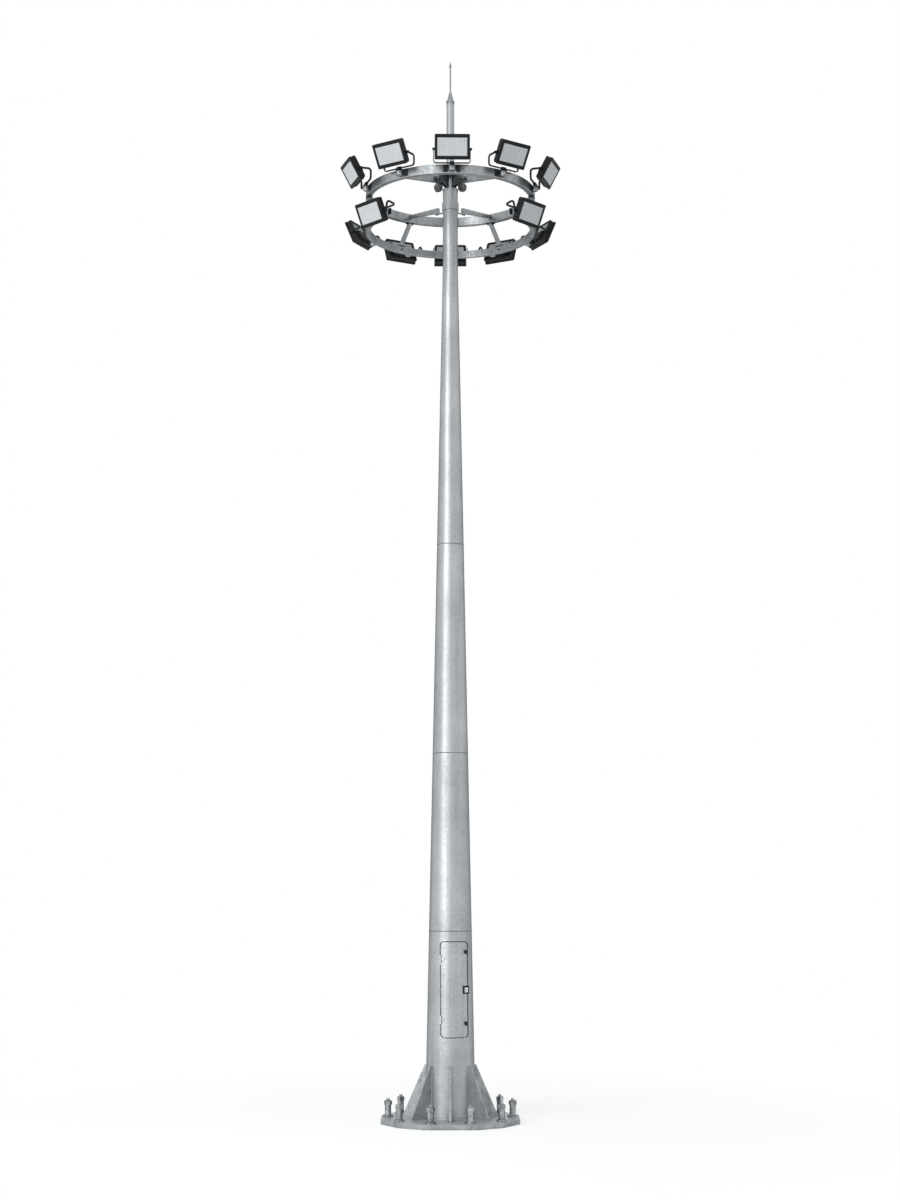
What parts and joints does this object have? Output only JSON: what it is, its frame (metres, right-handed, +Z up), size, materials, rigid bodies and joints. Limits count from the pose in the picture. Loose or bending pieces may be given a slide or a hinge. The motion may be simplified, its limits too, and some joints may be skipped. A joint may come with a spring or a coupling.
{
  "type": "high mast floodlight tower",
  "caption": "Tapered round steel mast on a bolted polygonal base plate, with an access door, a ring frame of tilting LED floodlights and a lightning spire.",
  "frame": {"origin": "centre of the base plate's underside, on the ground under the mast's axis", "axes": "+Z up the mast, -Y towards the front lamp, +X to the right seen from the front"},
  "size_m": [3.1421, 3.1612, 15],
  "materials": {
    "galvanised_steel": "hot-dip galvanised, satin, faint spangle",
    "galvanised_frame": "hot-dip galvanised, a little duller",
    "zinc_bolts": "zinc-coated, satin",
    "dark_steel": "dark painted steel, satin",
    "black_paint": "black powder coat",
    "black_housing": "black powder-coated die casting",
    "lens": "clear toughened glass over a pale LED board"
  },
  "bodies": {
    "root": {"base_plate": "galvanised_steel", "gussets": "galvanised_steel", "anchor_studs": "zinc_bolts", "anchor_washers": "zinc_bolts", "anchor_sleeves": "zinc_bolts", "anchor_nuts": "zinc_bolts", "mast_base_section": "galvanised_steel", "mast_lower_section": "galvanised_steel", "mast_middle_section": "galvanised_steel", "mast_top_section": "galvanised_steel", "door_frame": "galvanised_steel", "hinge_pins": "zinc_bolts", "head_hub": "galvanised_steel", "head_plate": "dark_steel", "arm_cheeks": "dark_steel", "front_arms": "galvanised_frame", "arm_collar": "galvanised_steel", "rear_arms": "galvanised_frame", "pulley_brackets": "dark_steel", "upper_ring_right": "galvanised_frame", "upper_ring_left": "galvanised_frame", "lower_ring_right": "galvanised_frame", "lower_ring_left": "galvanised_frame", "ring_splices": "galvanised_frame", "drop_struts": "galvanised_frame", "spire_pipe": "galvanised_steel", "spire_cone": "galvanised_frame", "lightning_rod": "galvanised_frame", "lamp_yokes": "black_paint", "lamp_knuckles": "black_paint", "lamp_cups": "galvanised_frame"},
    "door": {"access_door": "galvanised_steel", "door_lock": "dark_steel", "door_latches": "dark_steel"},
    "pulley_left": {"pulley_left": "dark_steel"},
    "pulley_right": {"pulley_right": "dark_steel"},
    "lamp_front": {"lamp_front_housing": "black_housing", "lamp_front_lens": "lens"},
    "lamp_front_right": {"lamp_front_right_housing": "black_housing", "lamp_front_right_lens": "lens"},
    "lamp_right": {"lamp_right_housing": "black_housing", "lamp_right_lens": "lens"},
    "lamp_front_left": {"lamp_front_left_housing": "black_housing", "lamp_front_left_lens": "lens"},
    "lamp_left": {"lamp_left_housing": "black_housing", "lamp_left_lens": "lens"},
    "low_lamp_front_right": {"low_lamp_front_right_housing": "black_housing", "low_lamp_front_right_lens": "lens"},
    "low_lamp_right": {"low_lamp_right_housing": "black_housing", "low_lamp_right_lens": "lens"},
    "low_lamp_rear_right": {"low_lamp_rear_right_housing": "black_housing", "low_lamp_rear_right_lens": "lens"},
    "low_lamp_rear": {"low_lamp_rear_housing": "black_housing", "low_lamp_rear_lens": "lens"},
    "low_lamp_rear_left": {"low_lamp_rear_left_housing": "black_housing", "low_lamp_rear_left_lens": "lens"},
    "low_lamp_left": {"low_lamp_left_housing": "black_housing", "low_lamp_left_lens": "lens"},
    "low_lamp_front_left": {"low_lamp_front_left_housing": "black_housing", "low_lamp_front_left_lens": "lens"}
  },
  "joints": [
    {"name": "door_swing", "type": "hinge", "parent": "root", "child": "door", "pos_m": [-0.12971, -0.30311, 1.38], "axis": [0.0056, -0.0242, -0.9997], "range_deg": [0, 110]},
    {"name": "pulley_left_spin", "type": "hinge", "parent": "root", "child": "pulley_left", "pos_m": [-0.17222, 0, 13.112], "axis": [0, 1, 0], "continuous": true},
    {"name": "pulley_right_spin", "type": "hinge", "parent": "root", "child": "pulley_right", "pos_m": [0.17222, 0, 13.112], "axis": [0, 1, 0], "continuous": true},
    {"name": "lamp_front_tilt", "type": "hinge", "parent": "root", "child": "lamp_front", "pos_m": [0.02459, -1.40853, 13.1803], "axis": [0.9998, 0.0175, 0], "range_deg": [-20, 55]},
    {"name": "lamp_front_right_tilt", "type": "hinge", "parent": "root", "child": "lamp_front_right", "pos_m": [0.82804, -1.1397, 13.1803], "axis": [0.809, 0.5878, 0], "range_deg": [-29, 46]},
    {"name": "lamp_right_tilt", "type": "hinge", "parent": "root", "child": "lamp_right", "pos_m": [1.35073, -0.40011, 13.1803], "axis": [0.284, 0.9588, 0], "range_deg": [-29, 46]},
    {"name": "lamp_front_left_tilt", "type": "hinge", "parent": "root", "child": "lamp_front_left", "pos_m": [-0.79792, -1.16098, 13.1803], "axis": [0.8241, -0.5664, 0], "range_deg": [-29, 46]},
    {"name": "lamp_left_tilt", "type": "hinge", "parent": "root", "child": "lamp_left", "pos_m": [-1.34355, -0.42362, 13.1803], "axis": [0.3007, -0.9537, 0], "range_deg": [-29, 46]},
    {"name": "low_lamp_front_right_tilt", "type": "hinge", "parent": "root", "child": "low_lamp_front_right", "pos_m": [1.06071, -0.95507, 12.40064], "axis": [0.6691, 0.7431, 0], "range_deg": [-24, 51]},
    {"name": "low_lamp_right_tilt", "type": "hinge", "parent": "root", "child": "low_lamp_right", "pos_m": [1.30463, 0.63631, 12.59783], "axis": [-0.4384, 0.8988, 0], "range_deg": [-24, 51]},
    {"name": "low_lamp_rear_right_tilt", "type": "hinge", "parent": "root", "child": "low_lamp_rear_right", "pos_m": [0.73201, 1.26787, 12.54779], "axis": [-0.866, 0.5, 0], "range_deg": [-22, 53]},
    {"name": "low_lamp_rear_tilt", "type": "hinge", "parent": "root", "child": "low_lamp_rear", "pos_m": [0, 1.46401, 12.54779], "axis": [-1, 0, 0], "range_deg": [-22, 53]},
    {"name": "low_lamp_rear_left_tilt", "type": "hinge", "parent": "root", "child": "low_lamp_rear_left", "pos_m": [-0.73201, 1.26787, 12.54779], "axis": [-0.866, -0.5, 0], "range_deg": [-22, 53]},
    {"name": "low_lamp_left_tilt", "type": "hinge", "parent": "root", "child": "low_lamp_left", "pos_m": [-1.30463, 0.63631, 12.59783], "axis": [-0.4384, -0.8988, 0], "range_deg": [-24, 51]},
    {"name": "low_lamp_front_left_tilt", "type": "hinge", "parent": "root", "child": "low_lamp_front_left", "pos_m": [-1.06071, -0.95507, 12.40064], "axis": [0.6691, -0.7431, 0], "range_deg": [-24, 51]}
  ]
}
